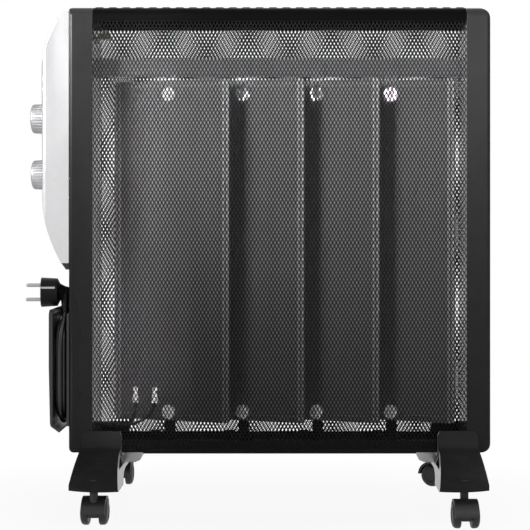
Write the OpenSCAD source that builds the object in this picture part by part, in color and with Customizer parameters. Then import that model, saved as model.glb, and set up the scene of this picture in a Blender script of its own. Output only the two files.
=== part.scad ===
// Mica panel convector heater on castors.
// The body's broad sides face -Y and +Y, the control end faces -X, and the
// floor is Z = 0. The origin is on the floor, under the middle of the object.

/* [Body] */
// Width of the body, over both side columns
body_w = 528; // [500:2:560]
// Depth of the side columns
body_d = 70; // [70:1:80]
// Height of the body's top above the floor
top_z = 630.5; // [626:0.5:660]
// Height of the body's underside above the floor
base_z = 73; // [73:1:76]
// Width of each side column
column_w = 30; // [28:1:32]
// Wall of the columns
column_wall = 3; // [2:0.5:4]
// Radius of the vertical outer edges
edge_r = 5; // [3:1:8]
// Radius of the top's front and rear edges
top_r = 12; // [8:1:14]

/* [Top cover] */
// Number of raised louvre bars
louvre_count = 28; // [20:1:28]
// Distance between louvre bars
louvre_pitch = 16.8; // [15:0.2:16.8]
// Width of a louvre bar
louvre_w = 11; // [8:0.5:11]
// Height of a louvre bar above the top
louvre_h = 0.9; // [0.6:0.1:2]
// Width of the outlet slots
outlet_w = 4.6; // [3:0.1:5]

/* [Mesh grilles] */
// Thickness of the expanded metal
mesh_t = 1; // [1:0.1:1.2]
// Width of one diamond
mesh_pitch_x = 27.9; // [20:0.1:40]
// Height of one diamond
mesh_pitch_z = 50; // [36:0.1:60]
// Width of the strands between the diamonds
strand_w = 4; // [2:0.1:6]
// Plain border round the diamonds
mesh_border = 5; // [4:1:10]

/* [Heating panels] */
// Number of panels
panel_count = 4; // [4:1:4]
// Width of a panel
panel_w = 158; // [140:1:158]
// Height of a panel
panel_h = 435; // [400:1:436]
// Height of the panels' lower edge
panel_z = 107.5; // [106:0.5:110]
// Distance between the panels' middles
panel_pitch = 94.6; // [90:0.1:96]
// Angle of each panel to the body's front
panel_turn = 17.3; // [12:0.1:20]

/* [Controls] */
// How far the control housing stands out from the column
control_d = 35; // [30:1:38]
// Height of the thermostat knob's axis
thermostat_z = 493; // [485:1:500]
// Height of the mode knob's axis
mode_z = 421.5; // [415:0.5:430]
// Diameter of the knobs
knob_d = 38; // [30:1:44]
// Height of the knobs
knob_h = 16.4; // [14:0.2:18]
// Number of flutes round a knob
flute_count = 28; // [12:1:36]
// Radius of the control shafts
shaft_r = 3; // [2.5:0.1:3.2]
// Running clearance round a shaft
running_gap = 0.05; // [0.03:0.01:0.09]

/* [Cord] */
// Diameter of the mains cord
cord_d = 6.5; // [6:0.5:6.5]
// Radius of the first turn of the wound cord
wind_r = 19.5; // [19:0.5:19.5]
// Height of the lower end's centre
wind_low_z = 139; // [139:1:142]
// Height of the upper end's centre
wind_high_z = 213; // [208:1:213]
// Roll of the parked plug about its own axis
plug_roll = 21; // [0:1:30]
// Turn of the parked plug away from the body's end
plug_yaw = 8; // [0:1:12]

/* [Feet] */
// Distance from the body's middle to a foot's outer side
foot_outer = 247; // [240:1:250]
// Distance from the body's middle to a foot's inner side, at the floor end
foot_inner = 187; // [180:1:192]
// Half the length of a foot
foot_reach = 130; // [125:1:135]
// Height of a foot's underside at its ends
foot_z = 45; // [44:0.5:47]

/* [Castors] */
// Distance from the body's middle to the castor stems
castor_x = 219.5; // [215:0.5:222]
// Distance from the mid-plane to the castor stems
castor_y = 107.5; // [100:0.5:110]
// Radius of the wheels
wheel_r = 15; // [14:0.5:16]
// Distance from the stem to the wheel axle
castor_trail = 8; // [7:0.5:9]
// Width over both wheels
wheels_w = 32.4; // [31:0.2:36]
// Width of the gap between the wheels
wheel_gap = 12.8; // [10.6:0.1:13]

/* [Hidden] */
$fn = 48;

// Body
half_w = body_w / 2;
half_d = body_d / 2;
inner_x = half_w - column_w;
slack = 1;
corner_r_right_top = 17;
corner_r_right_base = 12.5;
corner_r_left_top = 5.5;
corner_r_left_base = 7;
mesh_y = half_d - 3.5;
groove = 1.5;
skirt_z = top_z - 18.2;
cover_wall = 2.5;
sheet = 1.5;
tray_h = 15;
bead_r = 2.2;

// Control housing
housing_low = 309.5;
housing_high = 625;
face_low = [-half_w - control_d + 1.7, 388];
face_high = [-half_w - control_d, 556];
housing_r = 6;
housing_wall = 2.2;
knob_base_x = -half_w - control_d - 0.6;
knob_tip_x = knob_base_x - knob_h;
mode_shift = 0.8;

// The body's middle stands off the origin, since the controls widen one end
body_x = (-knob_tip_x - half_w) / 2;

// Heating panels
panel_mid_x = 3.2;
plate_t = 1;
mica_t = 1.6;
plate_fold = 5;
plate_corner_r = 6;
rib_in = 6;
rib_w = 2;
rib_t = 0.8;
washer_r = 9;
screw_r = 2;
panel_top_z = panel_z + panel_h;
screw_x = -3;
screw_in = [11, panel_h - 17.8];
rail_z = top_z - 81.5;
rail_h = 22;
rail_y = 3;

// Cord and its bracket
layer_x = [-half_w - 8, -half_w - 14.6];
outer_turn_x = (layer_x[0] + layer_x[1]) / 2;
outer_turn_r = wind_r + cord_d + sqrt(cord_d * cord_d - pow(layer_x[0] - outer_turn_x, 2));
drum_r = wind_r - cord_d / 2 - 0.3;
bracket_x = -half_w - 24.4;
flange_t = 4.8;
plate_x = -half_w - 3;
gland_z = wind_low_z - 6;
plug_at = [-half_w - 38.7, -12, 272];
plug_r = 18.7;
neck_r = 7.4;
lead_route = [
    [-272, 0, 153], [-272, -0.3, 160], [-272, -2, 169], [-272, -5.3, 178],
    [-272, -10, 187], [-272, -14.8, 196], [-272, -18.3, 205], [-272, -19.5, 213]
];
tail_route = [
    [-275.3, -31.6, 190], [-275.3, -31.6, 200], [-275.2, -31.6, 210], [-274.6, -31, 219.5],
    [-273.4, -28.4, 228.5], [-272, -23.2, 237.3], [-271.2, -17.3, 246.8]
];

// Castors: place, and the way the wheels trail
castor_names = ["front_left", "front_right", "rear_left", "rear_right"];
castor_at = [[-castor_x, -castor_y], [castor_x, -castor_y], [-castor_x, castor_y], [castor_x, castor_y]];
castor_turn = [90, -90, 90, 150];
hood_r = wheel_r + 4;
hood_w = 28.4;
stem_r = 3.95;
stem_top = 54;
neck_top = 40;
socket_top = 55.5;
socket_low = foot_z - 1.5;
axle_r = 2;

// Shared outlines and placing

function arc(cx, cy, r, from, to, steps = 8) =
    [for (i = [0:steps]) let (a = from + (to - from) * i / steps) [cx + r * cos(a), cy + r * sin(a)]];

function curve(a, b, c, steps = 10) =
    [for (i = [0:steps]) let (t = i / steps) (1 - t) * (1 - t) * a + 2 * t * (1 - t) * b + t * t * c];

function mirrored(points) = [for (i = [len(points) - 1:-1:0]) [-points[i][0], points[i][1]]];

// Point on a smooth line through a list of points
function smooth(p, i, t) =
    let (a = p[max(i - 1, 0)], b = p[i], c = p[i + 1], d = p[min(i + 2, len(p) - 1)])
    0.5 * (2 * b + (c - a) * t + (2 * a - 5 * b + 4 * c - d) * t * t
        + (3 * b - a - 3 * c + d) * t * t * t);

function smooth_line(p, steps = 2) =
    concat([for (i = [0:len(p) - 2]) for (s = [0:steps - 1]) smooth(p, i, s / steps)], [p[len(p) - 1]]);

function unit(v) = v / norm(v);

module in_body() translate([body_x, 0, 0]) children();

// A drawing in Y and Z, pulled along X
module along_x(from, to) translate([from, 0, 0]) rotate([90, 0, 90]) linear_extrude(to - from) children();

// A drawing in X and Z, pulled along Y
module along_y(from, to) translate([0, to, 0]) rotate([90, 0, 0]) linear_extrude(to - from) children();

// A profile of radius and distance, turned about a line along X
module turned_on_x() rotate([0, 90, 0]) rotate_extrude() children();

// A round tube swept along a line of points
module tube(line, r, sides = 8) {
    n = len(line);
    side = [0.31, 0.95, 0.05];
    rings = [for (i = [0:n - 1])
        let (d = unit(line[min(i + 1, n - 1)] - line[max(i - 1, 0)]),
             u = unit(cross(d, side)), v = cross(d, u))
        for (k = [0:sides - 1]) line[i] + r * (cos(360 * k / sides) * u + sin(360 * k / sides) * v)];
    skin = [for (i = [0:n - 2]) for (k = [0:sides - 1])
        let (k2 = (k + 1) % sides)
        [i * sides + k, i * sides + k2, (i + 1) * sides + k2, (i + 1) * sides + k]];
    polyhedron(rings, concat(skin, [[for (k = [sides - 1:-1:0]) k]],
        [[for (k = [0:sides - 1]) (n - 1) * sides + k]]), convexity = 6);
}

// Body shell

// Section of the body in Y and Z, rounded along the top, shrunk by inset
module body_section(low, inset = 0) {
    r = top_r - inset;
    half = concat([[half_d - inset, low]], arc(half_d - top_r, top_z - top_r, r, 0, 90));
    polygon(concat(half, mirrored(half)));
}

// One side column, drawn for +X
module column(r_top, r_base) {
    difference() {
        intersection() {
            along_y(-half_d, half_d) polygon(concat([[inner_x, base_z]],
                arc(half_w - r_base, base_z + r_base, r_base, -90, 0),
                arc(half_w - r_top, top_z - r_top, r_top, 0, 90), [[inner_x, top_z]]));
            linear_extrude(top_z + slack) polygon(concat([[inner_x, -half_d]],
                arc(half_w - edge_r, edge_r - half_d, edge_r, -90, 0),
                arc(half_w - edge_r, half_d - edge_r, edge_r, 0, 90), [[inner_x, half_d]]));
            along_x(inner_x, half_w) body_section(base_z);
        }
        along_y(column_wall - half_d, half_d - column_wall) polygon(concat(
            [[inner_x + column_wall, base_z - slack], [half_w - r_base, base_z - slack]],
            arc(half_w - r_base, base_z + r_base, r_base - column_wall, -90, 0),
            [[half_w - column_wall, top_z - top_r - 2], [inner_x + column_wall, top_z - top_r - 2]]));
        // Grooves for the mesh grilles
        for (y = [-mesh_y - mesh_t, mesh_y])
            translate([inner_x - slack, y, base_z + 2]) cube([groove + slack, mesh_t, skirt_z + 4 - base_z - 2]);
        // Holes for the rear screws
        for (z = [base_z + 47, top_z - 38])
            translate([half_w - column_w / 2, half_d + slack, z]) rotate([90, 0, 0]) cylinder(r = 2, h = 12);
    }
}

module left_column() color("#333436") in_body() difference() {
    mirror([1, 0, 0]) column(corner_r_left_top, corner_r_left_base);
    // Way in for the mains cord
    translate([-half_w - slack, 0, gland_z]) rotate([0, 90, 0]) cylinder(r = 6, h = 6);
}

module right_column() color("#333436") in_body() column(corner_r_right_top, corner_r_right_base);

module top_cover() color("#17181a") in_body() {
    // Half a bar's outline, rounded off over the last part of its width
    bar = concat([[louvre_w / 2, -1]],
        curve([louvre_w / 2, 0], [louvre_w / 2 - 0.8, louvre_h], [louvre_w / 2 - 2.4, louvre_h], 4));
    first = -(louvre_count - 1) / 2;
    difference() {
        along_x(-inner_x, inner_x) difference() {
            body_section(skirt_z);
            body_section(skirt_z - slack, cover_wall);
        }
        for (i = [0:louvre_count - 2])
            translate([(first + i + 0.5) * louvre_pitch - outlet_w / 2, -22, top_z - 5]) cube([outlet_w, 44, 10]);
    }
    for (i = [0:louvre_count - 1])
        translate([(first + i) * louvre_pitch, 0, top_z]) along_y(-24, 24) polygon(concat(bar, mirrored(bar)));
}

module base_tray() color("#161719") in_body() difference() {
    union() {
        translate([-inner_x, 1 - half_d, base_z]) cube([2 * inner_x, body_d - 2, 2]);
        for (y = [-mesh_y, mesh_y - 2]) translate([-inner_x, y, base_z]) cube([2 * inner_x, 2, tray_h]);
        // Rolled lower edges between the feet
        for (y = [-1, 1]) translate([16 - foot_inner, y * (mesh_y + 1 - bead_r), base_z]) rotate([0, 90, 0])
            cylinder(r = bead_r, h = 2 * foot_inner - 32, $fn = 32);
    }
    // Air inlet slots
    for (i = [-6:6]) translate([i * 26 - 5, -22, base_z - slack]) cube([10, 44, 4]);
    for (x = [-215, 215]) for (y = [-15, 15])
        translate([x, y, base_z - slack]) cylinder(r = 2.5, h = 4);
}

// Expanded metal: whole diamonds inside the border, halves and quarters along it
module mesh_panel() {
    low = base_z + 2;
    high = skirt_z + 4;
    w = 2 * (inner_x + groove - mesh_border);
    h = high - low - 2 * mesh_border;
    columns = round(w / mesh_pitch_x);
    rows = round(h / mesh_pitch_z);
    step = [w / columns / 2, h / rows / 2];
    hole = step * (1 - strand_w / mesh_pitch_x);
    linear_extrude(mesh_t) translate([-w / 2, low + mesh_border]) difference() {
        translate([-mesh_border, -mesh_border]) square([w + 2 * mesh_border, h + 2 * mesh_border]);
        for (i = [0:2 * columns]) for (j = [i % 2:2:2 * rows]) {
            corner = (i == 0 || i == 2 * columns) && (j == 0 || j == 2 * rows);
            translate([i * step[0], j * step[1]]) polygon(concat(
                i < 2 * columns ? [[hole[0], 0]] : [], j < 2 * rows ? [[0, hole[1]]] : [],
                i > 0 ? [[-hole[0], 0]] : [], j > 0 ? [[0, -hole[1]]] : [], corner ? [[0, 0]] : []));
        }
    }
}

module front_mesh() color("#1b1c1e") in_body() translate([0, -mesh_y, 0]) rotate([90, 0, 0]) mesh_panel();

module rear_mesh() color("#1b1c1e") in_body() translate([0, mesh_y + mesh_t, 0]) rotate([90, 0, 0]) mesh_panel();

// Heating panels

function panel_x(i) = panel_mid_x + (i - (panel_count - 1) / 2) * panel_pitch;

module at_panel(i) translate([panel_x(i), 0, 0]) rotate([0, 0, -panel_turn]) children();

module panel_holes() for (z = screw_in)
    translate([screw_x, -10, panel_z + z]) rotate([-90, 0, 0]) cylinder(r = screw_r, h = 20);

// Rectangle with round corners, standing on the panels' lower edge
module plate_outline(inset, r) translate([0, panel_z + inset]) {
    w = panel_w - 2 * inset;
    h = panel_h - 2 * inset;
    translate([-w / 2, r]) square([w, h - 2 * r]);
    translate([r - w / 2, 0]) square([w - 2 * r, h]);
    for (x = [r - w / 2, w / 2 - r]) for (z = [r, h - r]) translate([x, z]) circle(r = r);
}

// Front plate with a stiffening rib all round and both side edges folded back round the mica
module front_plate(i) color("#4a4b4c") in_body() at_panel(i) difference() {
    front = -plate_t - mica_t / 2;
    union() {
        along_y(front, front + plate_t) plate_outline(0, plate_corner_r);
        along_y(front - rib_t, front + plate_t / 2) difference() {
            plate_outline(rib_in, plate_corner_r - rib_w);
            plate_outline(rib_in + rib_w, plate_corner_r - 2 * rib_w);
            // Room for the washers
            for (z = screw_in) translate([screw_x, panel_z + z]) circle(r = washer_r + 0.6);
        }
        for (x = [-panel_w / 2, panel_w / 2 - plate_t])
            translate([x, front, panel_z + plate_corner_r]) cube([plate_t, plate_fold, panel_h - 2 * plate_corner_r]);
    }
    panel_holes();
}

module mica_elements() color("#8a7a55") in_body() for (i = [0:panel_count - 1]) at_panel(i) difference() {
    translate([plate_t - panel_w / 2, -mica_t / 2, panel_z]) cube([panel_w - 2 * plate_t, mica_t, panel_h]);
    panel_holes();
}

module rear_plates() color("#4a4b4c") in_body() for (i = [0:panel_count - 1]) at_panel(i) difference() {
    translate([plate_t - panel_w / 2, mica_t / 2, panel_z]) cube([panel_w - 2 * plate_t, plate_t, panel_h]);
    panel_holes();
}

module panel_washers() color("#b9b9b6") in_body() for (i = [0:panel_count - 1]) at_panel(i)
    for (z = screw_in) translate([screw_x, -plate_t - mica_t / 2, panel_z + z]) rotate([90, 0, 0]) difference() {
        cylinder(r = washer_r, h = 1.5);
        translate([0, 0, -slack]) cylinder(r = screw_r, h = 4);
    }

module panel_screws() color("#c9c9c6") in_body() for (i = [0:panel_count - 1]) at_panel(i)
    for (z = screw_in) translate([screw_x, -plate_t - mica_t / 2 - 1.5, panel_z + z]) rotate([90, 0, 0]) difference() {
        union() {
            cylinder(r = 4, h = 2);
            translate([0, 0, -6.6]) cylinder(r = screw_r, h = 6.7);
        }
        translate([-5, -0.5, 1]) cube([10, 1, 2]);
    }

module upper_rail() color("#6d6e6f") in_body() along_x(-inner_x, inner_x) polygon([
    [rail_y, rail_z], [rail_y + 13, rail_z], [rail_y + 13, rail_z + sheet], [rail_y + sheet, rail_z + sheet],
    [rail_y + sheet, rail_z + rail_h - sheet], [rail_y + 13, rail_z + rail_h - sheet],
    [rail_y + 13, rail_z + rail_h], [rail_y, rail_z + rail_h]]);

// A strap behind the panel, and the lug that carries it
module hanger(i, low, high, lug_low, lug_high, lug_y) {
    at_panel(i) difference() {
        translate([screw_x - 7, plate_t + mica_t / 2, low]) cube([14, sheet, high - low]);
        panel_holes();
    }
    translate([panel_x(i) - 7, lug_y, lug_low]) cube([14, sheet, lug_high - lug_low]);
}

module upper_hangers() color("#8d8e8f") in_body() for (i = [0:panel_count - 1])
    hanger(i, panel_top_z - 26, rail_z - 1, rail_z - 3, rail_z + 17, rail_y - sheet);

module lower_hangers() color("#8d8e8f") in_body() for (i = [0:panel_count - 1]) {
    hanger(i, base_z + 12, panel_z + 22, base_z + 2, base_z + 14, rail_y - sheet);
    translate([panel_x(i) - 7, rail_y - sheet, base_z + 2]) cube([14, 10, sheet]);
    // Locating tab beside the strap
    translate([panel_x(i) - 26, rail_y - 10, base_z + 2]) cube([12, sheet, 21.5]);
    translate([panel_x(i) - 26, rail_y - 10, base_z + 2]) cube([26, 10, sheet]);
}

// Spade terminals at the foot of the first panel
module element_terminals() color("#d0cfca") in_body() at_panel(0) for (x = [-48, -21])
    translate([x, -plate_t - mica_t / 2, 0]) {
        translate([-4.5, -4, 129]) cube([9, 4, 8.5]);
        translate([-3.2, -3.2, 137.5]) cube([6.4, 0.8, 12]);
    }

module element_wires() color("#101010") in_body() {
    tube(smooth_line([[-inner_x, -14, 106], [-222, -14, 105], [-208, -13, 104.5], [-196, -11, 104]]), 3);
    tube(smooth_line([[-196, -10, 104], [-190, -4, 107], [-186, 4, 116], [-185.7, 10.6, 128.2]]), 1.5);
    tube(smooth_line([[-196, -12, 104], [-182, -11, 106], [-166, -5, 115], [-159.9, 2.6, 128.2]]), 1.5);
}

module thermal_cutout() color("#a9a294") in_body() {
    translate([-inner_x, -8, 596]) cube([18, 16, sheet]);
    translate([-inner_x, -8, 590]) cube([sheet, 16, 6]);
    translate([-inner_x + 10, 0, 596 + sheet]) cylinder(r = 6, h = 7);
}

// Controls

// Side outline of the control housing, from the bottom round to the top
function housing_outline() = concat(
    [[-half_w, housing_low], [-half_w - 9.6, housing_low]],
    curve([-half_w - 9.6, housing_low], face_low + [0.8, -36], face_low),
    curve(face_high, face_high + [2.4, 24], [-half_w - 13, 617]),
    [[-half_w - 6, housing_high], [-half_w, housing_high]]);

module housing_form(inset) {
    intersection() {
        along_y(inset - half_d + 3, half_d - 3 - inset) offset(delta = -inset) polygon(housing_outline());
        translate([0, 0, 300]) linear_extrude(330) polygon(concat(
            [[-half_w + slack, half_d - 3 - inset]],
            arc(-half_w - control_d + housing_r, half_d - 3 - housing_r, housing_r - inset, 90, 180, 6),
            arc(-half_w - control_d + housing_r, housing_r + 3 - half_d, housing_r - inset, 180, 270, 6),
            [[-half_w + slack, inset + 3 - half_d]]));
    }
}

module shaft_way(z, r) translate([-half_w - control_d - 5, 0, z]) rotate([0, 90, 0]) cylinder(r = r, h = 20);

module control_cover() color("#d9dadb") in_body() difference() {
    housing_form(0);
    housing_form(housing_wall);
    translate([-half_w - 4, housing_wall + 3 - half_d, housing_low + housing_wall])
        cube([6, body_d - 6 - 2 * housing_wall, housing_high - housing_low - 2 * housing_wall]);
    shaft_way(thermostat_z, shaft_r + 1);
    shaft_way(mode_z, shaft_r + 1);
    shaft_way(536, 2.5);
}

module control_base() color("#141516") in_body() {
    along_y(housing_wall + 3 - half_d, half_d - 3 - housing_wall)
        polygon([[-half_w, housing_low + housing_wall], [-half_w - 3, housing_low + housing_wall],
            [-half_w - 3, housing_high - housing_wall], [-half_w, housing_high - housing_wall]]);
    along_y(3 - half_d, half_d - 3) polygon([[-half_w, 301.5], [-half_w - 3.5, 301.5],
        [-half_w - 9.3, housing_low], [-half_w, housing_low]]);
}

// Dial plate that lies on the housing's face behind the knobs
module dial_plate() color("#b8474f") in_body() {
    low = 399;
    high = 510;
    lean = (face_high[0] - face_low[0]) / (face_high[1] - face_low[1]);
    face = function (z) face_low[0] + lean * (z - face_low[1]);
    difference() {
        along_y(-26, 26) polygon([[face(low), low], [face(low) - 0.5, low],
            [face(high) - 0.5, high], [face(high), high]]);
        shaft_way(thermostat_z, shaft_r + 1);
        shaft_way(mode_z, shaft_r + 1);
    }
}

module indicator_lens() color("#d8442e") in_body()
    translate([-half_w - control_d - 0.6, 0, 536]) rotate([0, 90, 0]) {
        cylinder(r = 2.5, h = 6);
        translate([0, 0, 4.5]) cylinder(r = 3.5, h = 2);
    }

module switch_block(z, w, deep) difference() {
    union() {
        translate([-half_w - 3 - deep, -w / 2, z - w / 2]) cube([deep, w, w]);
        translate([-half_w - 27, 0, z]) rotate([0, 90, 0]) cylinder(r = 6, h = 14);
    }
    translate([-half_w - 30, 0, z]) rotate([0, 90, 0]) cylinder(r = shaft_r + running_gap, h = 22);
}

module thermostat_body() color("#c4b48c") in_body() switch_block(thermostat_z, 34, 12);

module mode_switch_body() color("#2b2c2e") in_body() switch_block(mode_z, 28, 14);

module tip_switch_body() color("#2b2c2e") in_body() difference() {
    union() {
        translate([-half_w - 5, -13, 330]) cube([2, 26, 48]);
        for (y = [-13, 11]) translate([-half_w - 20, y, 356]) cube([16, 2, 22]);
    }
    translate([-half_w - 15, 15, 368]) rotate([90, 0, 0]) cylinder(r = 1.5 + running_gap, h = 30);
}

module tip_pendulum() color("#b5b5b0") in_body() translate([-half_w - 15, 0, 368]) rotate([90, 0, 0]) {
    translate([0, 0, -14]) cylinder(r = 1.5, h = 28);
    translate([-1, -18, -2]) cube([2, 17.5, 4]);
    translate([0, -19, -7]) cylinder(r = 4, h = 14);
}

// A fluted knob; its skirt starts at the origin and it points along -X
module knob() {
    r = knob_d / 2;
    round_r = 3;
    rotate([0, 180, 0]) difference() {
        turned_on_x() polygon(concat(
            [[0, 0], [r - 0.6, 0], [r, 0.6]],
            arc(r - round_r - 0.6, knob_h - round_r, round_r, 8, 90),
            [[r - round_r - 4, knob_h - 0.8], [0, knob_h - 0.8]]));
        // Flutes
        for (k = [0:flute_count - 1]) rotate([360 * k / flute_count, 0, 0])
            translate([1.4, 0, r + 0.5]) rotate([0, 90, 0]) cylinder(r = 1.3, h = knob_h, $fn = 16);
        // Shaft bore
        translate([-slack, 0, 0]) rotate([0, 90, 0]) cylinder(r = shaft_r, h = 12 + slack);
        // Pointer groove
        translate([knob_h - 1.6, -0.7, 4]) cube([3, 1.4, r - 9]);
    }
}

module knob_shaft() translate([-12, 0, 0]) rotate([0, 90, 0]) cylinder(r = shaft_r, h = 38);

module thermostat_knob() color("#c6c7c6") in_body() translate([knob_base_x, 0, thermostat_z]) knob();

module thermostat_shaft() color("#9d9d98") in_body() translate([knob_base_x, 0, thermostat_z]) knob_shaft();

module mode_knob() color("#c6c7c6") in_body() translate([knob_base_x + mode_shift, 0, mode_z]) knob();

module mode_shaft() color("#9d9d98") in_body() translate([knob_base_x + mode_shift, 0, mode_z]) difference() {
    knob_shaft();
    translate([27, -5, -5]) cube([10, 10, 10]);
}

// Cord store on the control end

// Outline round both ends of the winding, at a radius
module winding(r) {
    for (z = [wind_low_z, wind_high_z]) translate([0, z]) circle(r = r);
    translate([-r, wind_low_z]) square([2 * r, wind_high_z - wind_low_z]);
}

module drum_half(z, side) intersection() {
    difference() {
        translate([0, z]) circle(r = drum_r);
        translate([0, z]) circle(r = drum_r - 3);
    }
    translate([-30, side > 0 ? z : z - 30]) square([60, 30]);
}

module cord_bracket() color("#1a1b1d") in_body() {
    difference() {
        translate([plate_x, -30, 105]) cube([3, 60, 151]);
        translate([plate_x - slack, 0, gland_z]) rotate([0, 90, 0]) cylinder(r = 7, h = 5);
        translate([plate_x - slack, -7, gland_z]) cube([5, 14, 22]);
        // Room for the plug's neck
        translate([plate_x - slack, -31, 246]) cube([5, 45, 12]);
    }
    along_x(bracket_x + flange_t - slack, plate_x) {
        drum_half(wind_low_z, -1);
        drum_half(wind_high_z, 1);
    }
    // Outer flange, thinner towards its foot
    intersection() {
        along_x(bracket_x, bracket_x + flange_t) difference() {
            hull() for (y = [-27, 27]) for (z = [112, 243]) translate([y, z]) circle(r = 8);
            hull() for (z = [wind_low_z + 14, wind_high_z - 14]) translate([0, z]) circle(r = 11);
        }
        along_y(-half_d, half_d) polygon([[bracket_x + 1.6, 104], [bracket_x, 180], [bracket_x, 251],
            [bracket_x + flange_t, 251], [bracket_x + flange_t, 104]]);
    }
    // Floor and roof of the store
    along_y(-30, 30) polygon([[bracket_x + 1.6, 104.5], [-half_w - 12.4, 96.9], [plate_x, 105.1],
        [plate_x, 108.3], [-half_w - 12.4, 100.2], [bracket_x + flange_t, 107]]);
    along_y(-30, 30) polygon([[bracket_x, 247], [bracket_x + 1, 250.8], [bracket_x + 7, 253.6],
        [bracket_x + 7, 251], [bracket_x + flange_t, 246]]);
    along_y(14, 30) polygon([[bracket_x + 6, 250.6], [bracket_x + 6, 253.2], [plate_x, 256], [plate_x, 253]]);
    translate([bracket_x + flange_t - slack, 28, 238]) cube([plate_x - bracket_x - flange_t + 2 * slack, 2, 16]);
}

module cable_gland() color("#101112") in_body() {
    translate([-half_w - 11, 0, gland_z]) rotate([0, 90, 0]) cylinder(r = 5.8, h = 14);
    translate([layer_x[0], 0, gland_z]) cylinder(r1 = 5.6, r2 = cord_d / 2 + 0.6, h = lead_route[0][2] - gland_z);
}

module cord_lead() color("#0d0d0e") in_body() tube(smooth_line(lead_route), cord_d / 2);

// Two layers of two turns side by side, and a fifth turn in the groove between them
module cord_hank() color("#0d0d0e") in_body() difference() {
    union() {
        along_x(layer_x[1] - cord_d / 2, layer_x[0] + cord_d / 2) winding(wind_r + 1.5 * cord_d);
        along_x(outer_turn_x - cord_d / 2, outer_turn_x + cord_d / 2) winding(outer_turn_r + cord_d / 2);
    }
    along_x(layer_x[1] - cord_d, layer_x[0] + cord_d) winding(wind_r - cord_d / 2);
}

module cord_tail() color("#0d0d0e") in_body() tube(smooth_line(tail_route), cord_d / 2);

module at_plug() translate(plug_at) rotate([-plug_roll, 0, plug_yaw]) children();

module plug_body() color("#161617") in_body() at_plug() {
    difference() {
        turned_on_x() polygon(concat([[0, 0], [plug_r - 0.8, 0], [plug_r, 0.8], [plug_r - 1.2, 20.5],
            [11, 23.8]], arc(0, 30.5, neck_r, 0, 90)));
        // Seats of the earthing contacts
        for (s = [-1, 1]) translate([-2, s * plug_r - 1.6, -1.3]) cube([20, 3.2, 2.6]);
        for (z = [-9.5, 9.5]) translate([0, 0, z]) rotate([0, 90, 0]) translate([0, 0, -slack]) cylinder(r = 2, h = 9 + slack);
    }
    translate([30.5, 0, 0]) rotate([180, 0, 0]) cylinder(r1 = neck_r - 0.4, r2 = cord_d / 2 + 0.7, h = 27);
}

module plug_pins() color("#b8b8b4") in_body() at_plug() {
    for (z = [-9.5, 9.5]) translate([2.4 - 19, 0, z]) {
        sphere(r = 2.4);
        rotate([0, 90, 0]) cylinder(r = 2.4, h = 19 - 2.4);
        rotate([0, 90, 0]) cylinder(r = 2, h = 19 - 2.4 + 9);
    }
    for (s = [-1, 1]) translate([-0.5, s * (plug_r - 1) - 0.6, -1.3]) cube([18.5, 1.2, 2.6]);
}

// Feet and castors

// Half of a foot's side outline: up over the leg and into the cheek
function foot_rise(drop = 0) = curve([foot_reach - 1, foot_z + 1.5 - drop], [92, 68.5 - drop], [45, 79.5 - drop], 10);

module foot_form() intersection() {
    along_x(foot_inner - 1, foot_outer) {
        half = concat([[0, 57]], curve([42, 57], [66, 56], [86, foot_z], 6),
            [[foot_reach, foot_z]], foot_rise(), curve([45, 79.5], [39, 82], [38, 99], 5), [[37, 100], [0, 100]]);
        polygon(concat(half, mirrored(half)));
    }
    along_y(-foot_reach, foot_reach) polygon([[foot_inner, foot_z - slack], [foot_outer, foot_z - slack],
        [foot_outer, 95], [foot_outer - 5, 101], [foot_inner + 13, 101], [foot_inner + 10, 95],
        [foot_inner + 10, 75]]);
    // Bowed ends, swept back towards the outer side
    linear_extrude(110) {
        r = 80;
        mid = (foot_inner + foot_outer) / 2 - 8;
        outer = asin((foot_outer - mid) / r);
        inner = asin((mid - foot_inner) / r);
        polygon(concat(arc(mid, foot_reach - r, r, 90 - outer, 90 + inner),
            arc(mid, r - foot_reach, r, 270 - inner, 270 + outer)));
    }
}

// One foot, drawn for +X
module foot() difference() {
    union() {
        difference() {
            foot_form();
            along_x(foot_inner + 6, foot_outer - 3) {
                half = concat([[0, foot_z - 5], [foot_reach - 5, foot_z - 5]], [for (p = foot_rise(3.2)) p - [4, 0]],
                    [[41, 70], [0, 70]]);
                polygon(concat(half, mirrored(half)));
            }
        }
        // Flange under the body
        along_y(-30, 30) polygon([[foot_inner + 12, 60], [foot_inner - 6, 60], [foot_inner - 12, 62.5],
            [foot_inner - 15, 68], [foot_inner - 15, base_z], [foot_inner + 12, base_z]]);
        // Bosses and cross ribs
        intersection() {
            foot_form();
            union() {
                for (y = [-castor_y, castor_y]) translate([castor_x, y, foot_z]) cylinder(r = 9.5, h = 30);
                for (y = [-86, -52, 52, 86])
                    translate([foot_inner, y - 1.25, foot_z]) cube([foot_outer - foot_inner, 2.5, 40]);
            }
        }
    }
    // Saddle for the body
    translate([foot_inner - 5, -half_d, base_z]) cube([80, body_d, 40]);
    for (y = [-castor_y, castor_y]) translate([castor_x, y, foot_z - 2]) cylinder(r = 6.5, h = socket_top + 2 - foot_z);
    for (y = [-15, 15]) translate([215, y, 60]) cylinder(r = 2.5, h = 20);
}

module left_foot() color("#1c1d1f") in_body() mirror([1, 0, 0]) foot();

module right_foot() color("#1c1d1f") in_body() foot();

module castor_sockets() color("#26272a") in_body() for (p = castor_at) translate([p[0], p[1], 0]) difference() {
    union() {
        translate([0, 0, foot_z]) cylinder(r = 6.5, h = socket_top - foot_z);
        translate([0, 0, socket_low]) cylinder(r = 7.5, h = foot_z - socket_low);
    }
    translate([0, 0, socket_low - slack]) cylinder(r = stem_r + running_gap, h = stem_top + 0.3 - socket_low + slack);
}

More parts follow.
